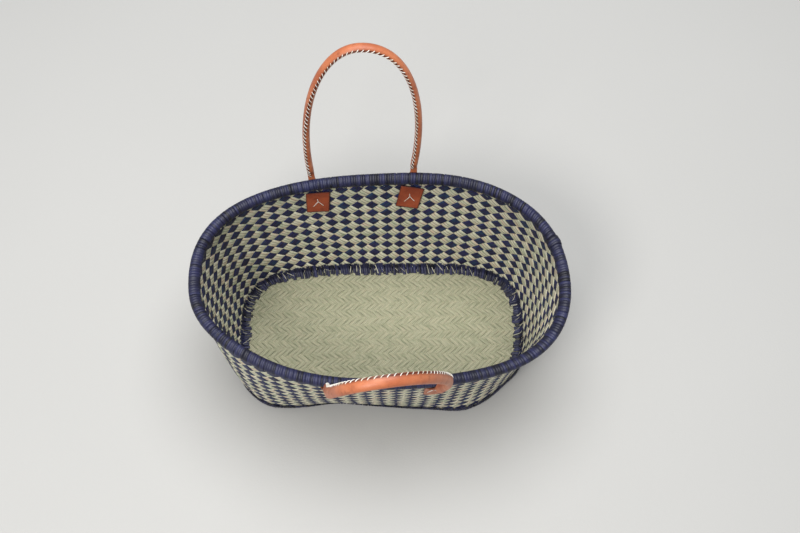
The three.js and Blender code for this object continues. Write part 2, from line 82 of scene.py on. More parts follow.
# The wall's slack corner: how far its foot is pulled in, how hollow it is above, and how far the rim sags
TUCK_TURN = math.radians(322)
TUCK_SHARPNESS = 12.0
TUCK_FOOT = 9 * MM
TUCK_DEPTH = 11 * MM
RIM_SAG = 6 * MM
RIM_WAVE = 1.2 * MM

# The handles and what holds them, close to the solids
FOOT_SPACING = 164 * MM
SLEEVE_ACROSS = 11.2 * MM
SLEEVE_DEEP = 16.2 * MM
NECK_WIDTH = 10.8 * MM
NECK_THICKNESS = 5.2 * MM
NECK_LENGTH = 24 * MM
HINGE_STAND_OFF = 13.5 * MM
HINGE_Z = RIM_CENTRE_Z + 8 * MM
ROPE_RADIUS = 4.2 * MM
LACING_PITCH = 7.5 * MM
TONGUE_SPACING = 150 * MM
TONGUE_WIDTH = 27 * MM
TONGUE_THICKNESS = 3 * MM
TONGUE_REACH = 55 * MM
TONGUE_END_RADIUS = 8 * MM
PATCH_WIDTH = 38 * MM
PATCH_HEIGHT = 48 * MM
PATCH_THICKNESS = 2 * MM
PATCH_CENTRE_Z = 183.3 * MM
PATCH_STAND_OFF = 2.3 * MM
THREAD_RADIUS = 0.5 * MM
TIE_HALF_SPAN = 8.5 * MM
# Pairs are left and right; the seam's angles go from the left foot to the right one
REAR = SimpleNamespace(
    name="rear", side=1, centre_x=-25 * MM, lean=math.radians(10.7), height=252 * MM, sway=7.2 * MM,
    shoulders=lengths(55, 68), splay=lengths(10, 25), twist=0.0, twist_low=(0.0, 0.0),
    foot_inset=(0.0, 0.0), unlaced=(0.0, 0.0), seam=(114, 116, 96, 78, 88, 78, 60, 50, 52),
    patch_lean={-1: math.radians(5), 1: math.radians(11)}, lacing_seed=7)
FRONT = SimpleNamespace(
    name="front", side=-1, centre_x=3 * MM, lean=math.radians(19.2), height=255 * MM, sway=-5 * MM,
    shoulders=lengths(67, 71), splay=lengths(31, -20), twist=10 * MM, twist_low=lengths(11, 15),
    foot_inset=lengths(0, 4), unlaced=lengths(0, 20), seam=(128, 130, 132, 127, 122, 120, 98, 88, 88),
    patch_lean={-1: math.radians(-4), 1: math.radians(3)}, lacing_seed=9)

# The plait, the wrapping and the lashing
STRANDS = 62
ROWS = 10.6
STRAND_OVERRUN = 0.6
RIM_TURNS = 390
LASHING_STITCHES = 290
MAT_PITCH = 6.5 * MM
MAP_SHIFT = 1.7


# Sums for numbers, arrays and node trees alike
class Quantity:
    """What a node gives, so that nodes are written as a sum."""

    def __init__(self, tree, socket):
        self.tree = tree
        self.socket = socket


def connect(tree, value, socket):
    if isinstance(value, Quantity):
        tree.links.new(value.socket, socket)
    elif isinstance(value, bpy.types.NodeSocket):
        tree.links.new(value, socket)
    else:
        socket.default_value = value


def worked(operation, *terms):
    tree = next(term.tree for term in terms if isinstance(term, Quantity))
    node = tree.nodes.new("ShaderNodeMath")
    node.operation = operation
    for socket, term in zip(node.inputs, terms):
        connect(tree, term, socket)
    return Quantity(tree, node.outputs[0])


def give_operator(name, operation):
    """Let quantities stand on either side of an operator."""
    setattr(Quantity, f"__{name}__", lambda self, other: worked(operation, self, other))
    setattr(Quantity, f"__r{name}__", lambda self, other: worked(operation, other, self))


for name, operation in (("add", "ADD"), ("sub", "SUBTRACT"), ("mul", "MULTIPLY"), ("truediv", "DIVIDE")):
    give_operator(name, operation)


def either(operation, numeric):
    """A function that takes plain numbers and quantities alike."""
    def act(*terms):
        if any(isinstance(term, Quantity) for term in terms):
            return worked(operation, *terms)
        return numeric(*terms)
    return act


sine = either("SINE", np.sin)
cosine = either("COSINE", np.cos)
absolute = either("ABSOLUTE", np.abs)
power = either("POWER", np.power)
signum = either("SIGN", np.sign)
larger = either("MAXIMUM", np.maximum)
smaller = either("MINIMUM", np.minimum)
exponential = either("EXPONENT", np.exp)
turn_of = either("ARCTAN2", np.arctan2)


def limited(value, low, high):
    return smaller(larger(value, low), high)


def mixed(low, high, share):
    return low + (high - low) * share


def smoothed(value, low, high):
    k = np.clip((value - low) / (high - low), 0, 1)
    return k * k * (3 - 2 * k)


# The basket's surface
def foot_push(x, y, z):
    """How far the front foot is pushed back."""
    fade = larger(1.0 - z / FOOT_PUSH_HEIGHT, 0.0)
    push = 0.0
    for depth, middle, width in FOOT_PUSHES:
        away = (x - middle) / width
        push = push + exponential(away * away * (-1.0)) * depth
    return push * fade * fade * limited(y * FOOT_PUSH_FRONT, 0.0, 1.0)


def corner(turn, middle, sharpness):
    """1 at a corner's middle turn, and smoothly down to 0 on both sides."""
    return exponential((1.0 - cosine(turn - middle)) * (-sharpness))


def slack(turn, grown):
    """How far the rim and the wall's slack corner are pulled in."""
    pull = 0.0
    for middle, depth, sharpness in RIM_PULLS:
        pull = pull + corner(turn, middle, sharpness) * depth
    tuck = corner(turn, TUCK_TURN, TUCK_SHARPNESS)
    return pull * grown * grown + tuck * (1.0 - grown) * (grown * (4.0 * TUCK_DEPTH) + TUCK_FOOT)


def basket_point(turn, z, off=0.0):
    """The place at a turn round the basket and a height, moved outwards by off."""
    grown = power(larger(z / RIM_CENTRE_Z, 0.0), WALL_BELLY)
    a = mixed(BASE_LENGTH / 2, OVERALL_LENGTH / 2 - RIM_RADIUS, grown)
    b = mixed(BASE_WIDTH / 2, OVERALL_WIDTH / 2 - RIM_RADIUS, grown)
    n = mixed(BASE_SQUARENESS, RIM_SQUARENESS, grown)
    c = cosine(turn)
    s = sine(turn)
    k = power(power(absolute(c), n) + power(absolute(s), n), -1.0 / n)
    nx = signum(c) * power(absolute(c * k), n - 1.0) / a
    ny = signum(s) * power(absolute(s * k), n - 1.0) / b
    length = power(nx * nx + ny * ny, 0.5)
    off = off - slack(turn, grown)
    x = a * k * c + off * nx / length
    y = b * k * s + off * ny / length
    wave = (sine(turn * 2.0 + 0.6) * 0.6 + sine(turn * 5.0 + 2.0) * 0.4) * RIM_WAVE
    wave = wave - corner(turn, TUCK_TURN, TUCK_SHARPNESS) * RIM_SAG
    return x, y + foot_push(x, y, z), z + wave * grown * grown


def vector_at(turn, z, off=0.0):
    return Vector(basket_point(turn, z, off))


def girth(z):
    x, y, _ = basket_point(np.linspace(0, 2 * math.pi, 2001), z)
    return float(np.hypot(np.diff(x), np.diff(y)).sum())


def evening_terms():
    """Sine terms that turn an even share of the way round into the surface's own turn."""
    turns = np.linspace(0, 2 * math.pi, 4001)
    x, y, _ = basket_point(turns, 0.6 * RIM_CENTRE_Z)
    steps = np.hypot(np.diff(x), np.diff(y))
    share = np.concatenate([[0], np.cumsum(steps)]) / steps.sum()
    even = np.linspace(0, 1, 4001)
    rest = np.interp(even, share, turns) - 2 * math.pi * even
    return [float(2 * np.mean(rest * np.sin(4 * math.pi * m * even))) for m in (1, 2, 3)]


EVENING = evening_terms()


def even_turn(share):
    turn = share * (2 * math.pi)
    for m, term in enumerate(EVENING):
        turn = turn + sine(share * (4 * math.pi * (m + 1))) * term
    return turn


# Node trees
class Nodes:
    """A node tree in the making, whose usual nodes' kinds begin with FAMILY."""

    def add(self, kind, inputs=None, **settings):
        node = self.tree.nodes.new(kind if "Node" in kind else self.FAMILY + kind)
        for name, value in settings.items():
            setattr(node, name, value)
        for place, value in (inputs or {}).items():
            connect(self.tree, value, node.inputs[place])
        return node

    def made(self, kind, inputs=None, output=0, **settings):
        """What a new node gives."""
        return Quantity(self.tree, self.add(kind, inputs, **settings).outputs[output])


class Maker(Nodes):
    """A Geometry Nodes tree, with its sizes as named inputs; None stands for an object."""

    FAMILY = "GeometryNode"
    KINDS = {float: "NodeSocketFloat", int: "NodeSocketInt", type(None): "NodeSocketObject"}

    def __init__(self, name, **sizes):
        self.tree = bpy.data.node_groups.new(name, "GeometryNodeTree")
        face = self.tree.interface
        face.new_socket("Geometry", in_out="INPUT", socket_type="NodeSocketGeometry")
        for size, value in sizes.items():
            socket = face.new_socket(size, in_out="INPUT", socket_type=self.KINDS[type(value)])
            if value is not None:
                socket.default_value = value
        face.new_socket("Material", in_out="INPUT", socket_type="NodeSocketMaterial")
        face.new_socket("Geometry", in_out="OUTPUT", socket_type="NodeSocketGeometry")
        self.given = self.add("NodeGroupInput").outputs
        self.size = SimpleNamespace(**{size: Quantity(self.tree, self.given[size]) for size in sizes})

    def strip(self, along, across):
        """A unit block whose corners are moved into shape later."""
        return self.made("MeshCube", {
            "Size": (1, 1, 1), "Vertices X": along, "Vertices Y": across, "Vertices Z": 2})

    def copies(self, count, blank):
        """Numbered copies of a blank, all in one place."""
        points = self.made("Points", {"Count": count})
        placed = self.made("InstanceOnPoints", {"Points": points, "Instance": blank})
        numbered = self.keep(placed, "number", self.made("InputIndex"), "INT", "INSTANCE")
        return self.made("RealizeInstances", {"Geometry": numbered})

    def stored(self, name, kind):
        return self.made("InputNamedAttribute", {"Name": name}, data_type=kind)

    def number(self):
        return self.stored("number", "INT")

    def chance(self, low, high, salt, number=None):
        """A random size for each numbered copy, the same in each run."""
        return self.made("FunctionNodeRandomValue", {
            2: low, 3: high, "ID": number or self.number(), "Seed": self.size.seed + salt,
        }, 1, data_type="FLOAT")

    def parts(self, vector):
        node = self.add("ShaderNodeSeparateXYZ", {0: vector})
        return [Quantity(self.tree, part) for part in node.outputs]

    def local(self):
        """Where a corner lies in its own blank."""
        return self.parts(self.made("InputPosition"))

    def joined(self, x, y, z):
        return self.made("ShaderNodeCombineXYZ", {0: x, 1: y, 2: z})

    def keep(self, geometry, name, value, kind="FLOAT", domain="POINT"):
        """Keep a value on each corner, for the material or for later steps."""
        return self.made("StoreNamedAttribute", {
            "Geometry": geometry, "Name": name, "Value": value}, data_type=kind, domain=domain)

    def keep_map(self, geometry, along, across):
        return self.keep(geometry, "strand map", self.joined(along, across, 0.0), "FLOAT2", "CORNER")

    def moved(self, geometry, x, y, z):
        return self.made("SetPosition", {"Geometry": geometry, "Position": self.joined(x, y, z)})

    def finish(self, geometry):
        real = self.made("RealizeInstances", {"Geometry": geometry})
        dressed = self.made("SetMaterial", {"Geometry": real, "Material": self.given["Material"]})
        self.add("NodeGroupOutput", {0: dressed})
        return self.tree


def linked(thing):
    bpy.context.scene.collection.objects.link(thing)
    return thing


def grown_piece(name, tree, material, start=None, flip=False, **sizes):
    """The plain mesh that a tree makes, as a new object."""
    helper = linked(bpy.data.objects.new(name + "_helper", start or bpy.data.meshes.new(name + "_start")))
    modifier = helper.modifiers.new("form", "NODES")
    modifier.node_group = tree
    given = {**sizes, "Material": material}
    for item in tree.interface.items_tree:
        if item.in_out == "INPUT" and item.name in given:
            modifier[item.identifier] = given[item.name]
    evaluated = helper.evaluated_get(bpy.context.evaluated_depsgraph_get())
    mesh = bpy.data.meshes.new_from_object(evaluated)
    helper.modifiers.remove(modifier)
    bpy.data.objects.remove(helper)
    if flip:
        mesh.flip_normals()
    return placed_piece(name, mesh, material)


def placed_piece(name, mesh, material):
    mesh.materials.clear()
    mesh.materials.append(material)
    mesh.polygons.foreach_set("use_smooth", [True] * len(mesh.polygons))
    return linked(bpy.data.objects.new(name, mesh))


def mesh_piece(name, points, faces, material, marks=None):
    """A piece from its corners and faces, turned to face outwards; marks are numbers on its corners."""
    mesh = bpy.data.meshes.new(name)
    mesh.from_pydata(points, [], faces)
    form = bmesh.new()
    form.from_mesh(mesh)
    bmesh.ops.recalc_face_normals(form, faces=form.faces)
    form.to_mesh(mesh)
    form.free()
    for mark, values in (marks or {}).items():
        kept = mesh.attributes.new(mark, "FLOAT", "POINT")
        kept.data.foreach_set("value", np.asarray(values, np.float32))
    return placed_piece(name, mesh, material)


def skin(count, total, closed=False, base=0):
    """Faces between rings of count corners each: joined into a hoop, or closed at both ends."""
    faces = []
    for i in range(total if closed else total - 1):
        here = base + i * count
        onward = base + (i + 1) % total * count
        for j in range(count):
            k = (j + 1) % count
            faces.append((here + j, here + k, onward + k, onward + j))
    if not closed:
        faces.append(tuple(range(base, base + count)))
        faces.append(tuple(range(base + (total - 1) * count, base + total * count)))
    return faces


# Materials
def shade_of(red, green, blue):
    """A colour as a photograph's 0 to 255 numbers, turned into light."""
    def light(value):
        v = value / 255
        return v / 12.92 if v <= 0.04045 else ((v + 0.055) / 1.055) ** 2.4
    return (light(red), light(green), light(blue), 1.0)


class Finish(Nodes):
    """A material in the making."""

    FAMILY = "ShaderNode"

    def __init__(self, name, specular, shade):
        self.material = bpy.data.materials.new(name)
        self.material.use_nodes = True
        self.tree = self.material.node_tree
        self.shader = self.tree.nodes["Principled BSDF"]
        self.shader.inputs["Specular IOR Level"].default_value = specular
        self.colour = shade_of(*shade)

    def noise(self, scale, detail=3.0, roughness=0.55, place=None):
        """Cloudy patches over the piece, or over another place."""
        place = place or self.made("Mapping", {"Vector": self.made("TexCoord", output="Object")})
        return self.made("TexNoise", {
            "Vector": place, "Scale": scale, "Detail": detail, "Roughness": roughness}, "Fac")

    def streaks(self, along, across, detail, roughness):
        """Patches drawn out along each strand, by the piece's own map."""
        place = self.made("UVMap", uv_map="strand map")
        place = self.made("Mapping", {"Vector": place, "Scale": (along, across, 1)})
        return self.noise(1.0, detail, roughness, place)

    def mark(self, name):
        return self.made("Attribute", output="Fac", attribute_name=name)

    def step(self, value, low, high):
        """0 below low, 1 above high, and a smooth slope between."""
        return self.made("MapRange", {
            "Value": value, "From Min": low, "From Max": high}, interpolation_type="SMOOTHSTEP")

    def tint(self, share, shade):
        """Lay a share of another shade over the colour so far."""
        self.colour = self.made("Mix", {0: share, 6: self.colour, 7: shade_of(*shade)}, 2, data_type="RGBA")

    def made_with(self, roughness, height, depth):
        """The material, with its roughness and the height and depth of its relief."""
        bump = self.made("Bump", {"Height": height, "Distance": depth})
        for place, value in (("Base Color", self.colour), ("Roughness", roughness), ("Normal", bump)):
            connect(self.tree, value, self.shader.inputs[place])
        return self.material


def leaf_finish(name, tones, streak, streak_share, roughness, fibres=11.0):
    """Dry palm leaf: tones from strand to strand and cell to cell, and fine lines along each strand."""
    finish = Finish(name, 0.35, tones[0])
    fibre = finish.streaks(1.1, fibres, 5.0, 0.7)
    patchy = finish.streaks(1.7, 2.3, 2.0, 0.55)
    joint = finish.step(absolute(absolute(finish.mark("width") + (patchy - 0.5) * 0.2) - 0.33), 0.14, 0.02)
    finish.tint(finish.mark("shade"), tones[1])
    finish.tint(finish.step(patchy, 0.50, 0.66), tones[2])
    finish.tint(finish.step(patchy, 0.46, 0.30), tones[3])
    finish.tint(finish.step(fibre, 0.50, 0.68) * streak_share, streak)
    finish.tint(finish.step(fibre, 0.47, 0.30) * 0.6, tones[4])
    finish.tint(joint * 0.65, tones[4])
    return finish.made_with(roughness, fibre + patchy * 0.4 - joint * 0.7, 0.25 * MM)


def raffia_finish():
    """Indigo raffia turns: a dull sheen, fine lines along each turn with lighter streaks that are partly
    painted highlight, and uneven depth of colour.
    """
    finish = Finish("indigo raffia", 0.6, (9, 9, 23))
    fibre = finish.streaks(2.2, 7.0, 5.0, 0.7)
    worn = finish.noise(38.0)
    finish.tint(finish.mark("shade"), (38, 40, 78))
    finish.tint(finish.step(worn, 0.54, 0.7) * 0.45, (48, 55, 96))
    # Lighter streaks along the fibres: partly the raffia's own pale fibres, partly painted highlight.
    finish.tint(finish.step(fibre, 0.57, 0.75) * 0.4, (86, 92, 140))
    finish.tint(finish.step(fibre, 0.45, 0.25) * 0.7, (10, 9, 22))
    return finish.made_with(0.42 + fibre * 0.2, fibre, 0.15 * MM)


def leather_finish(name, pale, deep, dark, roughness):
    """Vegetable-tanned leather: mottled colour, fine grain, darker at its cut edges and folds, and painted
    shade along a handle's seam.
    """
    finish = Finish(name, 0.5, deep)
    mottle = finish.noise(24.0, 4.0)
    cloud = finish.noise(75.0)
    grain = finish.noise(900.0)
    pores = finish.noise(2100.0, 2.0)
    finish.tint(finish.step(mottle, 0.36, 0.66), pale)
    finish.tint(finish.step(cloud, 0.56, 0.74) * 0.35, dark)
    finish.tint(finish.step(grain, 0.44, 0.3) * 0.25, dark)
    # Darker at the cut edges and folds, with painted shade along a handle's seam and on a patch's back.
    finish.tint(finish.mark("edge"), dark)
    height = grain * 0.7 + pores * 0.3 + cloud * 0.9
    return finish.made_with(roughness + (cloud - 0.5) * 0.35, height, 0.16 * MM)


def thread_finish():
    finish = Finish("waxed thread", 0.5, (243, 240, 232))
    finish.tint(finish.step(finish.noise(60.0), 0.42, 0.68), (216, 204, 184))
    return finish.made_with(0.5, finish.noise(1500.0, 2.0), 0.2 * MM)


def core_finish():
    finish = Finish("fibre core", 0.3, (120, 98, 58))
    strands = finish.noise(420.0, 4.0)
    finish.tint(strands, (182, 158, 108))
    return finish.made_with(0.85, strands, 0.4 * MM)


def ground_finish():
    finish = Finish("pale floor", 0.3, (188, 187, 184))
    finish.tint(finish.noise(1.4), (194, 193, 190))
    return finish.made_with(0.75, finish.noise(260.0, 4.0), 0.2 * MM)


# Each leaf's tones: two of its strands, two of its patches and its dark lines
STRAW_TONES = ((222, 218, 194), (204, 205, 178), (214, 194, 170), (172, 183, 154), (98, 88, 72))
INDIGO_TONES = ((30, 31, 66), (42, 42, 88), (34, 60, 92), (38, 30, 66), (13, 13, 28))
MAT_TONES = ((178, 176, 148), (164, 165, 136), (184, 178, 150), (146, 150, 122), (104, 98, 74))
straw_palm = leaf_finish("straw palm", STRAW_TONES, (240, 237, 214), 0.6, 0.62)
indigo_palm = leaf_finish("indigo palm", INDIGO_TONES, (72, 82, 126), 0.5, 0.5)
mat_palm = leaf_finish("mat palm", MAT_TONES, (206, 203, 176), 0.5, 0.66, 9.0)
indigo_raffia = raffia_finish()
tan_leather = leather_finish("tan leather", (203, 122, 82), (178, 97, 62), (82, 32, 22), 0.42)
red_leather = leather_finish("red leather", (168, 78, 46), (138, 56, 32), (84, 32, 18), 0.5)
waxed_thread = thread_finish()
fibre_core = core_finish()
pale_floor = ground_finish()


# The plaited wall
def flattened(wave):
    """A weave's wave with flat tops: a strand lies flat on the one that it crosses."""
    return sine(limited(wave * 1.4, -1.0, 1.0) * (math.pi / 2))


def bulge(y):
    """A strand's crown: 1 along its middle and 0 along its edges."""
    return 1.0 - y * y * 4.0


def wall_tree():
    maker = Maker("wall strands", strands=STRANDS, rows=ROWS, lean=1.0, thickness=1.0 * MM, rise=0.75 * MM,
                  crown=0.3 * MM, joint=0.16 * MM, narrowest=0.9, widest=0.98, seed=1)
    size, chance = maker.size, maker.chance
    strands = maker.copies(size.strands, maker.strip(92, 7))
    x, y, z = maker.local()
    across = y * chance(size.narrowest, size.widest, 1)
    centre = mixed(-STRAND_OVERRUN, size.rows + STRAND_OVERRUN, x + 0.5)
    row = limited(centre - across / 2, 0.0, size.rows)
    wander = sine(centre * 2.3 + chance(0.0, 6.28, 2)) * 0.025
    column = maker.number() + row + across + wander
    over = size.lean * flattened(cosine(centre * (2 * math.pi)))
    joint = larger(1.0 - absolute(absolute(y) - 1 / 6) * 9.0, 0.0) * size.joint
    off = over * (size.rise + size.crown * bulge(y) - joint) + z * size.thickness
    off = off + chance(-0.12 * MM, 0.12 * MM, 3)
    height = mixed(WALL_FOOT_Z, WALL_TOP_Z, row / size.rows)
    share = size.lean * column / size.strands
    strands = maker.keep(strands, "shade", chance(0.0, 1.0, 4))
    strands = maker.keep(strands, "width", y * 2.0)
    strands = maker.keep_map(strands, centre, maker.number() * MAP_SHIFT + across)
    return maker.finish(maker.moved(strands, *basket_point(even_turn(share), height, off)))


def make_wall():
    tree = wall_tree()
    straw = grown_piece("straw_strands", tree, straw_palm, narrowest=0.96, widest=1.04, seed=11)
    indigo = grown_piece("indigo_strands", tree, indigo_palm, flip=True, lean=-1.0, narrowest=0.84,
                         widest=0.94, seed=23)
    for piece in (straw, indigo):
        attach(piece, "basket")
        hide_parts("wall_weave")


# The floor mat, a herringbone of palm slats
MAT_HALF_LENGTH = BASE_LENGTH / 2 - 3.2 * MM
MAT_HALF_WIDTH = BASE_WIDTH / 2 - 3.2 * MM
MAT_MIDDLE_Z = 2.15 * MM
MAT_STRETCH = 1.12


def mat_reach(x, y):
    """1 on the mat's outline, and less inside it."""
    n = BASE_SQUARENESS
    return power(power(absolute(x / MAT_HALF_LENGTH), n) + power(absolute(y / MAT_HALF_WIDTH), n), 1 / n)


def mat_tree():
    maker = Maker("mat slats", slats=82, pitch=MAT_PITCH, lean=1.0, run=3.0, thickness=0.9 * MM,
                  rise=0.62 * MM, crown=0.3 * MM, narrowest=0.84, widest=0.97, seed=1)
    size, chance = maker.size, maker.chance
    slats = maker.copies(size.slats, maker.strip(190, 4))
    x, y, z = maker.local()
    across = y * chance(size.narrowest, size.widest, 1)
    slat = maker.number() - (size.slats - 1.0) / 2
    crossing = x * size.slats
    over = size.lean * flattened(cosine((crossing - slat) * math.pi / size.run))
    wander = sine(crossing * 0.31 + chance(0.0, 6.28, 2)) * 0.05
    cell = size.pitch * math.sqrt(0.5)
    place_x = size.lean * (crossing + slat + across + wander) * cell * MAT_STRETCH
    place_y = (crossing - slat - across - wander) * cell
    height = over * (size.rise + size.crown * bulge(y)) + z * size.thickness
    slats = maker.keep(slats, "shade", chance(0.0, 1.0, 3))
    slats = maker.keep(slats, "width", y * 2.0)
    slats = maker.keep_map(slats, crossing / 3, maker.number() * MAP_SHIFT + across)
    slats = maker.moved(slats, place_x, place_y, height + MAT_MIDDLE_Z)
    x, y, z = maker.local()
    reach = mat_reach(x, y)
    outside = maker.made("FunctionNodeCompare", {0: reach, 1: 1.0}, operation="GREATER_THAN")
    slats = maker.made("DeleteGeometry", {"Geometry": slats, "Selection": outside}, domain="FACE")
    turn = turn_of(y / MAT_HALF_WIDTH, x / MAT_HALF_LENGTH)
    tucked = smaller(reach * reach, 1.0) * slack(turn, 0.0) / power(x * x + y * y + MM * MM, 0.5)
    inwards = (1.0 - tucked) / larger(reach, 1.0)
    x = x * inwards
    y = y * inwards
    return maker.finish(maker.moved(slats, x, y + foot_push(x, y, 0.0), z))


def make_mat():
    tree = mat_tree()
    for name, lean, seed in (("mat_slats", 1.0, 5), ("mat_counter_slats", -1.0, 6)):
        piece = grown_piece(name, tree, mat_palm, flip=lean < 0, lean=lean, seed=seed)
        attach(piece, "basket")
        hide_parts("floor_mat")


# Turns and stitches that follow a section round the basket
def turns_tree():
    maker = Maker(
        "turns round the basket", section=None, turns=LASHING_STITCHES, steps=12, girth=girth(0.0),
        width=4 * MM, uneven=0.25, thickness=0.25 * MM, crown=0.02 * MM, overlap=0.1 * MM, slant=2 * MM,
        start_trim=0.0, end_trim=0.0, stray=0.0, lift=0.0, lump=0.0, lump_place=0.0, seed=1)
    size, chance = maker.size, maker.chance
    turns = maker.copies(size.turns, maker.strip(size.steps, 3))
    x, y, z = maker.local()
    first = size.start_trim * chance(0.0, 1.0, 1)
    last = 1.0 - size.end_trim * chance(0.0, 1.0, 2)
    along = mixed(first, last, x + 0.5)
    path = maker.made("ObjectInfo", {"Object": size.section}, "Geometry")
    sample = maker.add("SampleCurve", {"Curves": path, "Factor": along}, mode="FACTOR", use_all_curves=True)
    at = maker.parts(sample.outputs["Position"])
    way = maker.parts(sample.outputs["Tangent"])
    middle = (maker.number() + 0.5 + chance(-0.25, 0.25, 3)) / size.turns
    away = (middle - size.lump_place) * size.girth / (7 * MM)
    lump = exponential(away * away * (-1.0)) * size.lump
    lift = z * size.thickness + size.crown * bulge(y) + size.overlap * y
    lift = lift + size.lift * chance(0.0, 1.0, 4) + lump
    width = size.width * (1.0 + size.uneven * chance(-1.0, 1.0, 5))
    stray = size.stray * chance(-1.0, 1.0, 6) * (x + 0.5)
    share = middle + (y * width + size.slant * x + stray) / size.girth
    off = at[0] - way[1] * lift
    height = at[1] + way[0] * lift
    turns = maker.keep(turns, "shade", chance(0.0, 1.0, 7))
    turns = maker.keep_map(turns, along * 4.0, maker.number() * MAP_SHIFT + y)
    return maker.finish(maker.moved(turns, *basket_point(even_turn(share), height, off)))


def section_curve(points):
    """A line of [off, z] points that turns follow."""
    curve = bpy.data.curves.new("section", "CURVE")
    curve.dimensions = "3D"
    spline = curve.splines.new("POLY")
    spline.points.add(len(points) - 1)
    for target, (off, z) in zip(spline.points, points):
        target.co = (off, z, 0, 1)
    return linked(bpy.data.objects.new("section", curve))


def hand_section(*points):
    """The same from points in millimetres."""
    return section_curve([lengths(*point) for point in points])


def hoop_piece(name, radius, corners, material, stations):
    """A round bundle carried once round the basket inside its rim."""
    section = [(radius * math.cos(a), RIM_CENTRE_Z + radius * math.sin(a))
               for a in np.linspace(0, 2 * math.pi, corners, endpoint=False)]
    points = [basket_point(even_turn(i / stations), z, off) for i in range(stations) for off, z in section]
    return mesh_piece(name, points, skin(corners, stations, closed=True), material,
                      {"shade": [0.3] * len(points)})


def rim_section(radius, lip_off, inside_z, outside_z):
    """From a height inside the wall, over the rim and down the outside to another height."""
    start = math.asin(lip_off / radius)
    points = [(-lip_off, inside_z)]
    for share in np.linspace(0, 1, 25):
        angle = -math.pi / 2 - start - share * 2 * (math.pi - start)
        points.append((radius * math.cos(angle), RIM_CENTRE_Z + radius * math.sin(angle)))
    points.append((lip_off, outside_z))
    return points


def make_rim(tree):
    hidden = hoop_piece("rim_bundle", 8.1 * MM, 16, indigo_raffia, 240)
    over = section_curve(rim_section(*lengths(8.5, 2.55, 211.5, 209.5)))
    inner = hand_section((-2.8, 206), (-2.6, 210), (-2.6, 214.5))
    pale = hand_section((-3, 206), (-4.2, 212), (-6.8, 217), (-9.3, 223), (-8.4, 227))
    rim_girth = girth(RIM_CENTRE_Z)
    wrap = grown_piece(
        "rim_turns", tree, indigo_raffia, section=over, turns=RIM_TURNS, steps=24, girth=rim_girth,
        width=4.6 * MM, thickness=0.4 * MM, crown=0.14 * MM, overlap=0.16 * MM, slant=2.4 * MM,
        start_trim=0.06, end_trim=0.03, lift=0.16 * MM, lump=2.2 * MM, lump_place=0.035, seed=3)
    ends = grown_piece(
        "rim_raffia_ends", tree, indigo_raffia, section=inner, turns=110, steps=6, girth=rim_girth,
        width=2.2 * MM, uneven=0.6, thickness=0.3 * MM, crown=0.05 * MM, slant=3 * MM, start_trim=0.8,
        stray=4 * MM, lift=0.7 * MM, seed=8)
    fibres = grown_piece(
        "pale_rim_fibres", tree, straw_palm, section=pale, turns=26, steps=8, girth=rim_girth,
        width=0.9 * MM, uneven=0.5, overlap=0.0, start_trim=0.8, end_trim=0.75, stray=4 * MM,
        lift=1.0 * MM, seed=14)
    for piece in (hidden, wrap, ends, fibres):
        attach(piece, "basket")
        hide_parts("rim_wrap")
    for section in (over, inner, pale):
        bpy.data.objects.remove(section)


def make_lashing(tree):
    inside = hand_section(
        (-17, 3.9), (-12, 4.6), (-7, 5.1), (-4.2, 6.6), (-3.1, 9.5), (-2.5, 13), (-1.9, 17))
    outside = hand_section((1.9, 15), (3.3, 11.5), (4.1, 7.5), (4.2, 4), (3.2, 1.3), (0.2, 0.75), (-4, 0.7))
    inner = grown_piece(
        "inner_lashing", tree, indigo_raffia, section=inside, width=4.3 * MM, uneven=0.3,
        thickness=0.5 * MM, crown=0.35 * MM, start_trim=0.22, end_trim=0.2, lift=0.3 * MM, seed=31)
    outer = grown_piece(
        "outer_lashing", tree, indigo_raffia, section=outside, width=4.4 * MM, thickness=0.45 * MM,
        crown=0.2 * MM, slant=-2 * MM, start_trim=0.2, seed=37)
    loose = grown_piece(
        "loose_palm_ends", tree, straw_palm, section=inside, turns=120, width=0.9 * MM, uneven=0.5,
        overlap=0.0, slant=4 * MM, start_trim=0.6, end_trim=0.5, stray=7 * MM, lift=1.4 * MM, seed=41)
    for piece in (inner, outer, loose):
        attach(piece, "basket")
        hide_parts("base_seam")
    for section in (inside, outside):
        bpy.data.objects.remove(section)


def make_rim_core():
    core = hoop_piece("rim_fibre_core", 5.6 * MM, 12, fibre_core, 160)
    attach(core, "basket")
    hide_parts("rim_core")


# Lines through rows of numbers, the first three of each row a place
def distances(rows):
    """How far along the line each row lies."""
    return np.concatenate([[0], np.cumsum(np.linalg.norm(np.diff(rows[:, :3], axis=0), axis=1))])


def row_at(rows, way, distance):
    return np.array([np.interp(distance, way, column) for column in rows.T])


def tangent_at(rows, way, distance):
    return Vector((row_at(rows, way, distance + MM) - row_at(rows, way, distance - MM))[:3]).normalized()


def resampled(rows, spacing):
    """A smooth run through the rows, at an even spacing."""
    rows = np.array(rows)
    padded = np.concatenate([[2 * rows[0] - rows[1]], rows, [2 * rows[-1] - rows[-2]]])
    fine = []
    for i in range(1, len(padded) - 2):
        a, b, c, d = padded[i - 1:i + 3]
        for t in np.linspace(0, 1, 12, endpoint=False):
            fine.append(0.5 * (2 * b + (c - a) * t + (2 * a - 5 * b + 4 * c - d) * t ** 2
                               + (3 * b - a - 3 * c + d) * t ** 3))
    fine = np.array(fine + [rows[-1]])
    way = distances(fine)
    return row_at(fine, way, np.linspace(0, way[-1], round(way[-1] / spacing))).T


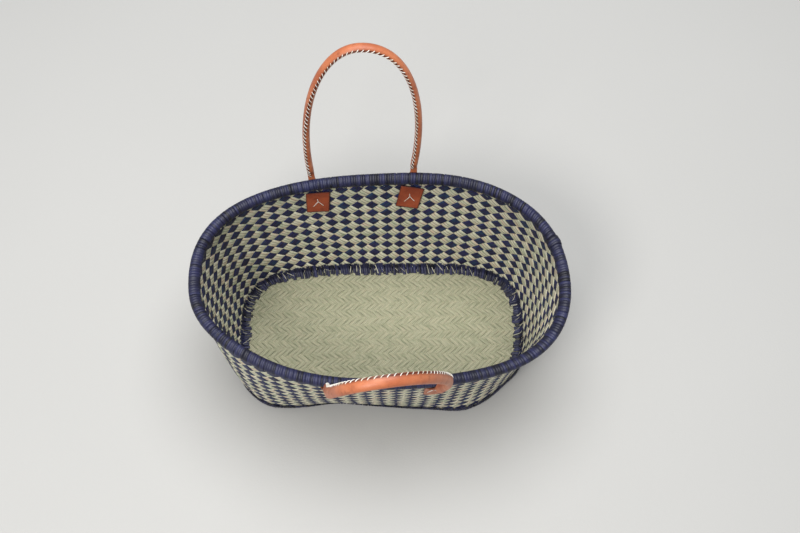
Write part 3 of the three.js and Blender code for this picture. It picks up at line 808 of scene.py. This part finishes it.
def thread_mesh(name, runs, radius, material, spacing=0.7 * MM, facets=8):
    """Round thread along each run of points, closed at its ends."""
    points, faces = [], []
    for run in runs:
        fine = resampled(run, spacing)
        faces += skin(facets, len(fine), base=len(points))
        side = Vector((0.3, 0.2, 1))
        for i, centre in enumerate(fine):
            travel = Vector(fine[min(i + 1, len(fine) - 1)] - fine[max(i - 1, 0)]).normalized()
            side = (side - travel * side.dot(travel)).normalized()
            other = travel.cross(side)
            thin = 0.35 if i in (0, len(fine) - 1) else 1.0
            points += [Vector(centre) + (side * math.cos(a) + other * math.sin(a)) * radius * thin
                       for a in np.linspace(0, 2 * math.pi, facets, endpoint=False)]
    return mesh_piece(name, points, faces, material)


# The handles
TURN_STEP = 1e-3


def turn_at(x, side, z, off):
    """The turn where the surface has a given x, on the rear (side 1) or the front (side -1)."""
    low, high = 0.0, math.pi
    for _ in range(40):
        middle = (low + high) / 2
        if basket_point(middle * side, z, off)[0] > x:
            low = middle
        else:
            high = middle
    return side * (low + high) / 2


def step_along(turn, z):
    """The way along the wall from just before a turn to just past it."""
    return vector_at(turn + TURN_STEP, z) - vector_at(turn - TURN_STEP, z)


def handle_place(handle):
    feet = []
    for direction in (handle.side, -handle.side):
        x = handle.centre_x + direction * FOOT_SPACING / 2
        turn = turn_at(x, handle.side, HINGE_Z, HINGE_STAND_OFF)
        feet.append(vector_at(turn, HINGE_Z, HINGE_STAND_OFF))
    right, left = feet
    line = right - left
    middle = (left + right) / 2
    middle.z = HINGE_Z
    turn = Matrix.Rotation(math.atan2(line.y, line.x), 4, "Z") @ Matrix.Rotation(-handle.lean, 4, "X")
    return Matrix.Translation(middle) @ turn, math.hypot(line.x, line.y) / 2


def bezier(start, first, second, end):
    t = np.linspace(0, 1, 120)[:, None]
    s = 1 - t
    return s ** 3 * start + 3 * s ** 2 * t * first + 3 * s * t ** 2 * second + t ** 3 * end


def leg_path(handle, half, right):
    """One leg's centre line in the handle's own frame, from its foot to the arch's top."""
    side = 1 if right else -1
    foot_x = side * (half - handle.foot_inset[right])
    foot, start, knee, shoulder, top = np.array([
        [foot_x, 0, 0],
        [foot_x, 0, NECK_LENGTH * 0.3],
        [side * (half + handle.splay[right]), side * handle.twist_low[right], handle.height * 0.6],
        [handle.sway + side * handle.shoulders[right], side * handle.twist, handle.height],
        [handle.sway, 0, handle.height],
    ])
    return np.concatenate([np.linspace(foot, start, 20), bezier(start, knee, shoulder, top)[1:]])


def seam_angle(handle, u):
    """The seam's angle at a share of the length, from the arch's inside towards the basket's inside."""
    angles = handle.seam
    place = u * (len(angles) - 1)
    i = min(int(place), len(angles) - 2)
    return math.radians(mixed(angles[i], angles[i + 1], smoothed(place - i, 0, 1)))


# A row of a handle's leather: its middle, the direction across it, half its width and depth, its
# squareness, the seam's angle, how deep the seam's groove is and how worn the leather
HALF_WIDTH, HALF_DEPTH, SEAM, GROOVE = 6, 7, 9, 10


def sleeve_rows(handle):
    """Sections from the left hinge line over the arch to the right one."""
    place, half = handle_place(handle)
    points = np.concatenate([leg_path(handle, half, 0), leg_path(handle, half, 1)[::-1][1:]])
    way = distances(points)
    length = way[-1]
    rows = []
    for distance in np.arange(0, length + 0.001 * MM, length / round(length / (4 * MM))):
        across = tangent_at(points, way, distance).cross(Vector((0, -1, 0))).normalized()
        reach = min(distance, length - distance)
        laced = min(distance - handle.unlaced[0], length - distance - handle.unlaced[1])
        k = smoothed(reach, 4 * MM, NECK_LENGTH)
        rows.append([
            *(place @ Vector(row_at(points, way, distance))), *(place.to_3x3() @ across),
            mixed(NECK_WIDTH, SLEEVE_ACROSS, k) / 2,
            mixed(NECK_THICKNESS, SLEEVE_DEEP, smoothed(reach, 2 * MM, 15 * MM)) / 2,
            mixed(2.6, 2.0, k), seam_angle(handle, distance / length), smoothed(laced, -2 * MM, 3 * MM),
            0.3 * (1 - smoothed(reach, 6 * MM, 30 * MM))])
    return rows


def attachment(handle, direction):
    """The turns of an attachment's top, on the hinge line, and of its middle, on the wall."""
    inset = handle.foot_inset[direction == handle.side]
    top_x = handle.centre_x + direction * (FOOT_SPACING / 2 - inset)
    low_x = handle.centre_x + direction * TONGUE_SPACING / 2
    return (turn_at(top_x, handle.side, HINGE_Z, HINGE_STAND_OFF),
            turn_at(low_x, handle.side, PATCH_CENTRE_Z, WALL_HALF))


def tongue_rows(handle, direction, sleeve_row):
    """Sections from just under the hinge line, at a sleeve's end, down the outside of the wall."""
    top_turn, low_turn = attachment(handle, direction)
    across = Vector(sleeve_row[3:6])
    thick = TONGUE_THICKNESS
    seat = WALL_HALF + 2 * FIT_GAP + thick / 2
    lip_seat = seat + 1.8 * MM
    rim_seat = RIM_RADIUS + 2.4 * FIT_GAP + thick / 2
    tip = HINGE_Z - 4.5 * MM
    lip_end = RIM_CENTRE_Z - RIM_RADIUS - RIM_LIP_LENGTH
    low_end = PATCH_CENTRE_Z + PATCH_HEIGHT / 2 - TONGUE_REACH
    tie_top = PATCH_CENTRE_Z + TIE_HALF_SPAN
    flare = lambda share: mixed(NECK_WIDTH, TONGUE_WIDTH, share)
    end_width = lambda h: TONGUE_WIDTH - 2 * (TONGUE_END_RADIUS - math.sqrt(
        TONGUE_END_RADIUS ** 2 - (TONGUE_END_RADIUS - h) ** 2))
    ends = [TONGUE_END_RADIUS * share for share in (0.8, 0.5, 0.25, 0.1, 0.0)]
    # How far off the wall and how high, the width, the share of the thickness and of the sleeve's direction
    sections = [
        (HINGE_STAND_OFF - 0.3 * thick, tip, NECK_WIDTH, 1.35, 1.0),
        (HINGE_STAND_OFF - 0.63 * thick, tip - 0.9 * thick, flare(0.02), 1.2, 0.9),
        (rim_seat, RIM_CENTRE_Z - 0.28 * RIM_RADIUS, flare(0.2), 1.05, 0.7),
        (rim_seat * 0.84, RIM_CENTRE_Z - 0.89 * RIM_RADIUS, flare(0.7), 1.0, 0.4),
        (lip_seat + 0.3 * thick, lip_end + 0.4 * RIM_LIP_LENGTH, TONGUE_WIDTH, 1.0, 0.1),
        (seat + 0.27 * thick, lip_end - RIM_LIP_LENGTH, TONGUE_WIDTH, 1.0, 0.0),
        (seat, tie_top, TONGUE_WIDTH, 1.0, 0.0),
        (seat, PATCH_CENTRE_Z - TIE_HALF_SPAN, TONGUE_WIDTH, 1.0, 0.0),
    ] + [(seat, low_end + h, end_width(h), 1.0, 0.0) for h in ends]
    rows = []
    for off, z, width, share, turned in sections:
        turn = mixed(low_turn, top_turn, smoothed(z, tie_top, tip))
        along = step_along(turn, z).normalized()
        if along.dot(across) < 0:
            along = -along
        rows.append([*vector_at(turn, z, off), *along.lerp(across, turned).normalized(), width / 2,
                     share * thick / 2, 4.5, sleeve_row[SEAM], 0.0, 0.15])
    return rows


def section_axes(row, tangent):
    """A section's own directions: across the leather and deep into it."""
    across = Vector(row[3:6])
    across = (across - tangent * across.dot(tangent)).normalized()
    return across, across.cross(tangent).normalized()


LEATHER_FACETS = 46
SEAM_GROOVE = 1.5 * MM
SEAM_LIP = 0.35 * MM


def leather_mesh(name, rows):
    """The leather's skin through its sections, with a groove where the sleeve's two edges meet."""
    points, edges = [], []
    turns = np.linspace(-1, 1, LEATHER_FACETS, endpoint=False)
    turns = np.sign(turns) * np.abs(turns) ** 1.3 * math.pi
    for row, tangent in zip(rows, np.gradient(rows[:, :3], axis=0)):
        across, deep = section_axes(row, Vector(tangent).normalized())
        width, depth, squareness, seam, groove, worn = row[HALF_WIDTH:]
        for turn in turns:
            near = abs(turn)
            dip = SEAM_LIP * math.exp(-((near - 0.3) / 0.14) ** 2)
            dip -= SEAM_GROOVE * math.exp(-(near / 0.1) ** 2)
            c, s = math.cos(seam + turn), math.sin(seam + turn)
            x = (width + dip * groove) * math.copysign(abs(c) ** (2 / squareness), c)
            y = (depth + dip * groove) * math.copysign(abs(s) ** (2 / squareness), s)
            points.append(Vector(row[:3]) + across * x + deep * y)
            rim = smoothed(abs(x) / width, 0.9, 1.0) if squareness > 3.5 else 0.0
            # Dark along the seam: partly the cut edges' own colour, partly painted shade in the groove
            # under the stitches.
            edges.append(min(1.0, groove * 0.95 * math.exp(-(near / 0.42) ** 2) + 0.6 * rim + worn * 0.5))
    return mesh_piece(name, points, skin(LEATHER_FACETS, len(rows)), tan_leather, {"edge": edges})


def stitch_tree():
    """Slanted stitches of thread on the points of a seam."""
    maker = Maker("lacing stitches", reach=2.8 * MM, advance=5.4 * MM, arch=0.75 * MM, dip=0.9 * MM,
                  half_width=0.82 * MM, half_thickness=0.6 * MM, seed=1)
    size = maker.size
    blank = maker.made("MeshCylinder", {
        "Vertices": 8, "Side Segments": 12, "Radius": 1.0, "Depth": 1.0})
    x, y, z = maker.local()
    ends = z * z * 4.0
    slim = power(larger(1.0 - ends * ends * ends, 0.02), 0.5)
    stitch = maker.moved(
        blank, z * size.advance + x * size.half_width * slim, z * size.reach * 2.0,
        size.arch - ends * size.dip - ends * 0.5 * MM + y * size.half_thickness * slim)
    turned = maker.made("FunctionNodeAxesToRotation", {
        "Primary Axis": maker.stored("outward", "FLOAT_VECTOR"),
        "Secondary Axis": maker.stored("onward", "FLOAT_VECTOR"),
    }, primary_axis="Z", secondary_axis="X")
    spread = maker.chance(0.88, 1.1, 0, maker.made("InputIndex"))
    placed = maker.made("InstanceOnPoints", {
        "Points": maker.given["Geometry"], "Instance": stitch, "Rotation": turned,
        "Scale": maker.joined(spread, spread, 1.0)})
    return maker.finish(placed)


def seam_points(handle, rows):
    """Points along the seam, a stitch apart, with the directions onward and outward."""
    way = distances(rows)
    laced = way[rows[:, GROOVE] > 0.4]
    points, onward, outward = [], [], []
    for distance in np.arange(laced[0], laced[-1], LACING_PITCH):
        row = row_at(rows, way, distance)
        tangent = tangent_at(rows, way, distance)
        across, deep = section_axes(row, tangent)
        c, s = math.cos(row[SEAM]), math.sin(row[SEAM])
        points.append(Vector(row[:3]) + across * row[HALF_WIDTH] * c + deep * row[HALF_DEPTH] * s)
        outward.append((across * c / row[HALF_WIDTH] + deep * s / row[HALF_DEPTH]).normalized())
        onward.append(tangent)
    mesh = bpy.data.meshes.new(handle.name + "_seam")
    mesh.from_pydata(points, [], [])
    for name, values in (("onward", onward), ("outward", outward)):
        attribute = mesh.attributes.new(name, "FLOAT_VECTOR", "POINT")
        attribute.data.foreach_set("vector", np.array(values, np.float32).ravel())
    return mesh


def make_handle(handle, lacing_tree):
    name = handle.name
    sleeve = sleeve_rows(handle)
    left = tongue_rows(handle, -handle.side, sleeve[0])
    right = tongue_rows(handle, handle.side, sleeve[-1])
    fine = resampled(left[::-1] + sleeve + right, 2.2 * MM)
    leather = leather_mesh(f"{name}_handle_leather", fine)
    place, _ = handle_place(handle)
    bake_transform(leather)
    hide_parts(f"{name}_handle_sleeve", f"{name}_left_tongue", f"{name}_right_tongue")
    middle = fine[fine[:, HALF_DEPTH] > 0.9 * SLEEVE_DEEP / 2][::2, :3]
    rope = thread_mesh(f"{name}_handle_rope", [middle], ROPE_RADIUS, fibre_core, 3 * MM)
    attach(rope, f"{name}_handle")
    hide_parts(f"{name}_handle_core")
    lacing = grown_piece(f"{name}_handle_stitches", lacing_tree, waxed_thread,
                         start=seam_points(handle, fine), seed=handle.lacing_seed)
    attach(lacing, f"{name}_handle")
    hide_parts(f"{name}_handle_lacing")


# The patches inside and their ties
def wall_place(turn, x, z, off):
    """A place on the wall near an attachment: x along the wall, z up from the patch's middle."""
    stride = step_along(turn, PATCH_CENTRE_Z).length / (2 * TURN_STEP)
    return vector_at(turn + x / stride, PATCH_CENTRE_Z + z, off)


def make_patch(name, turn, lean, seed):
    """A cut piece of thick leather: slightly uneven sides, edges worn round and corners lifted."""
    chance = np.random.default_rng(seed)
    lifts = chance.uniform(0.1, 1.0, 4) * 0.8 * MM
    skew = chance.uniform(-1, 1, 4) * 0.6 * MM
    steps = 18
    front = [(2 * j / steps - 1, False) for j in range(steps + 1)]
    back = [(v, True) for v, _ in front[::-1]]
    points, edges = [], []
    for u, _ in front:
        for v, behind in front + back:
            rim = max(abs(u), abs(v))
            lift = (1 + u) * (1 + v) * lifts[0] + (1 - u) * (1 + v) * lifts[1]
            lift += (1 + u) * (1 - v) * lifts[2] + (1 - u) * (1 - v) * lifts[3]
            rounding = 0.35 * MM * smoothed(rim, 0.9, 1.0)
            off = -PATCH_STAND_OFF - lift / 4 * smoothed(rim, 0.55, 1.0)
            off += -rounding if behind else rounding - PATCH_THICKNESS
            x = u * PATCH_WIDTH / 2 + skew[0] * v + skew[1] * u * v
            z = v * PATCH_HEIGHT / 2 + skew[2] * u + skew[3] * u * v
            points.append(wall_place(turn, x * math.cos(lean) + z * math.sin(lean),
                                     z * math.cos(lean) - x * math.sin(lean), off))
            # Darker at the cut edges; the back, which lies against the wall, gets painted shade.
            edges.append(0.85 * smoothed(rim, 0.9, 1.0) + (0.3 if behind else 0.0))
    faces = skin(2 * (steps + 1), steps + 1)
    piece = mesh_piece(f"{name}_patch_leather", points, faces, red_leather, {"edge": edges})
    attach(piece, "basket")
    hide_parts(f"{name}_patch")


def make_tie(name, turn):
    """One attachment's thread: a three-armed star inside, and two long stitches outside."""
    inside = -PATCH_STAND_OFF - PATCH_THICKNESS - 0.35 * MM
    buried = inside + 1.6 * MM
    outside = WALL_HALF + 2 * FIT_GAP + TONGUE_THICKNESS + 0.35 * MM
    sunk = outside - 1.6 * MM
    span = TIE_HALF_SPAN
    knot_x, knot_z = lengths(-0.5, 2.8)
    at = lambda x, z, off: np.array(wall_place(turn, x, z, off))
    runs = [[
        at(knot_x, knot_z, buried), at(knot_x, knot_z, inside),
        at(mixed(knot_x, x, 0.35), mixed(knot_z, z, 0.35), inside - 0.3 * MM),
        at(x * 0.93, z * 0.93, inside), at(x, z, buried),
    ] for x, z in ((0.0, span), (-span, -span), (span, -span))]
    runs += [[
        at(0.0, span, sunk), at(x * 0.08, span * 0.86, outside), at(x * 0.5, 0.0, outside + 0.2 * MM),
        at(x * 0.94, -span * 0.88, outside), at(x, -span, sunk),
    ] for x in (-span, span)]
    piece = thread_mesh(f"{name}_tie", runs, THREAD_RADIUS, waxed_thread)
    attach(piece, "basket")
    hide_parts(f"{name}_stitch")


def make_attachments():
    seed = 100
    for handle in (REAR, FRONT):
        for word, direction in (("left", -1), ("right", 1)):
            seed += 1
            turn = attachment(handle, direction)[1]
            make_patch(f"{handle.name}_{word}", turn, -handle.side * handle.patch_lean[direction], seed)
            make_tie(f"{handle.name}_{word}", turn)


# The floor, the lights and the camera
FLOOR_HALF = 6.0


def make_stage():
    corners = [(x * FLOOR_HALF, y * FLOOR_HALF, -FIT_GAP) for x, y in ((-1, -1), (1, -1), (1, 1), (-1, 1))]
    mesh = bpy.data.meshes.new("ground")
    mesh.from_pydata(corners, [], [(0, 1, 2, 3)])
    ground = placed_piece("ground", mesh, pale_floor)


def add_light(name, place, size, energy, colour):
    light = bpy.data.lights.new(name, "AREA")
    light.shape = "DISK"
    light.size = size
    light.energy = energy
    light.color = colour
    lamp = linked(bpy.data.objects.new(name, light))
    lamp.location = place
    lamp.rotation_euler = (Vector((0, 0, 0.15)) - Vector(place)).to_track_quat("-Z", "Y").to_euler()


def make_lights():
    world = bpy.data.worlds.new("studio")
    bpy.context.scene.world = world
    world.use_nodes = True
    sky = world.node_tree.nodes["Background"]
    sky.inputs["Color"].default_value = (0.93, 0.96, 1.0, 1.0)
    sky.inputs["Strength"].default_value = 0.3
    add_light("key", (-1.0, -1.6, 2.4), 1.1, 44, (1.0, 0.985, 0.96))
    add_light("ceiling", (0.1, 0.5, 2.9), 2.6, 84, (0.98, 0.99, 1.0))


CAMERA_PLACE = (0.03221, -0.72374, 1.64667)
CAMERA_TILT = math.radians(62.5)
CAMERA_ROLL = math.radians(-1.0)
CAMERA_LENS = 47.25


def make_camera():
    bpy.context.scene.view_settings.view_transform = "Standard"
    data = bpy.data.cameras.new("camera")
    data.lens = CAMERA_LENS
    data.sensor_fit = "HORIZONTAL"
    camera = linked(bpy.data.objects.new("camera", data))
    tilt = Matrix.Rotation(math.pi / 2 - CAMERA_TILT, 4, "X")
    camera.matrix_world = Matrix.Translation(CAMERA_PLACE) @ tilt @ Matrix.Rotation(CAMERA_ROLL, 4, "Z")
    bpy.context.scene.camera = camera


make_camera()
make_wall()
make_mat()
round_tree = turns_tree()
make_rim(round_tree)
make_lashing(round_tree)
lacing_tree = stitch_tree()
for handle in (REAR, FRONT):
    make_handle(handle, lacing_tree)
make_attachments()
make_rim_core()
make_stage()
make_lights()
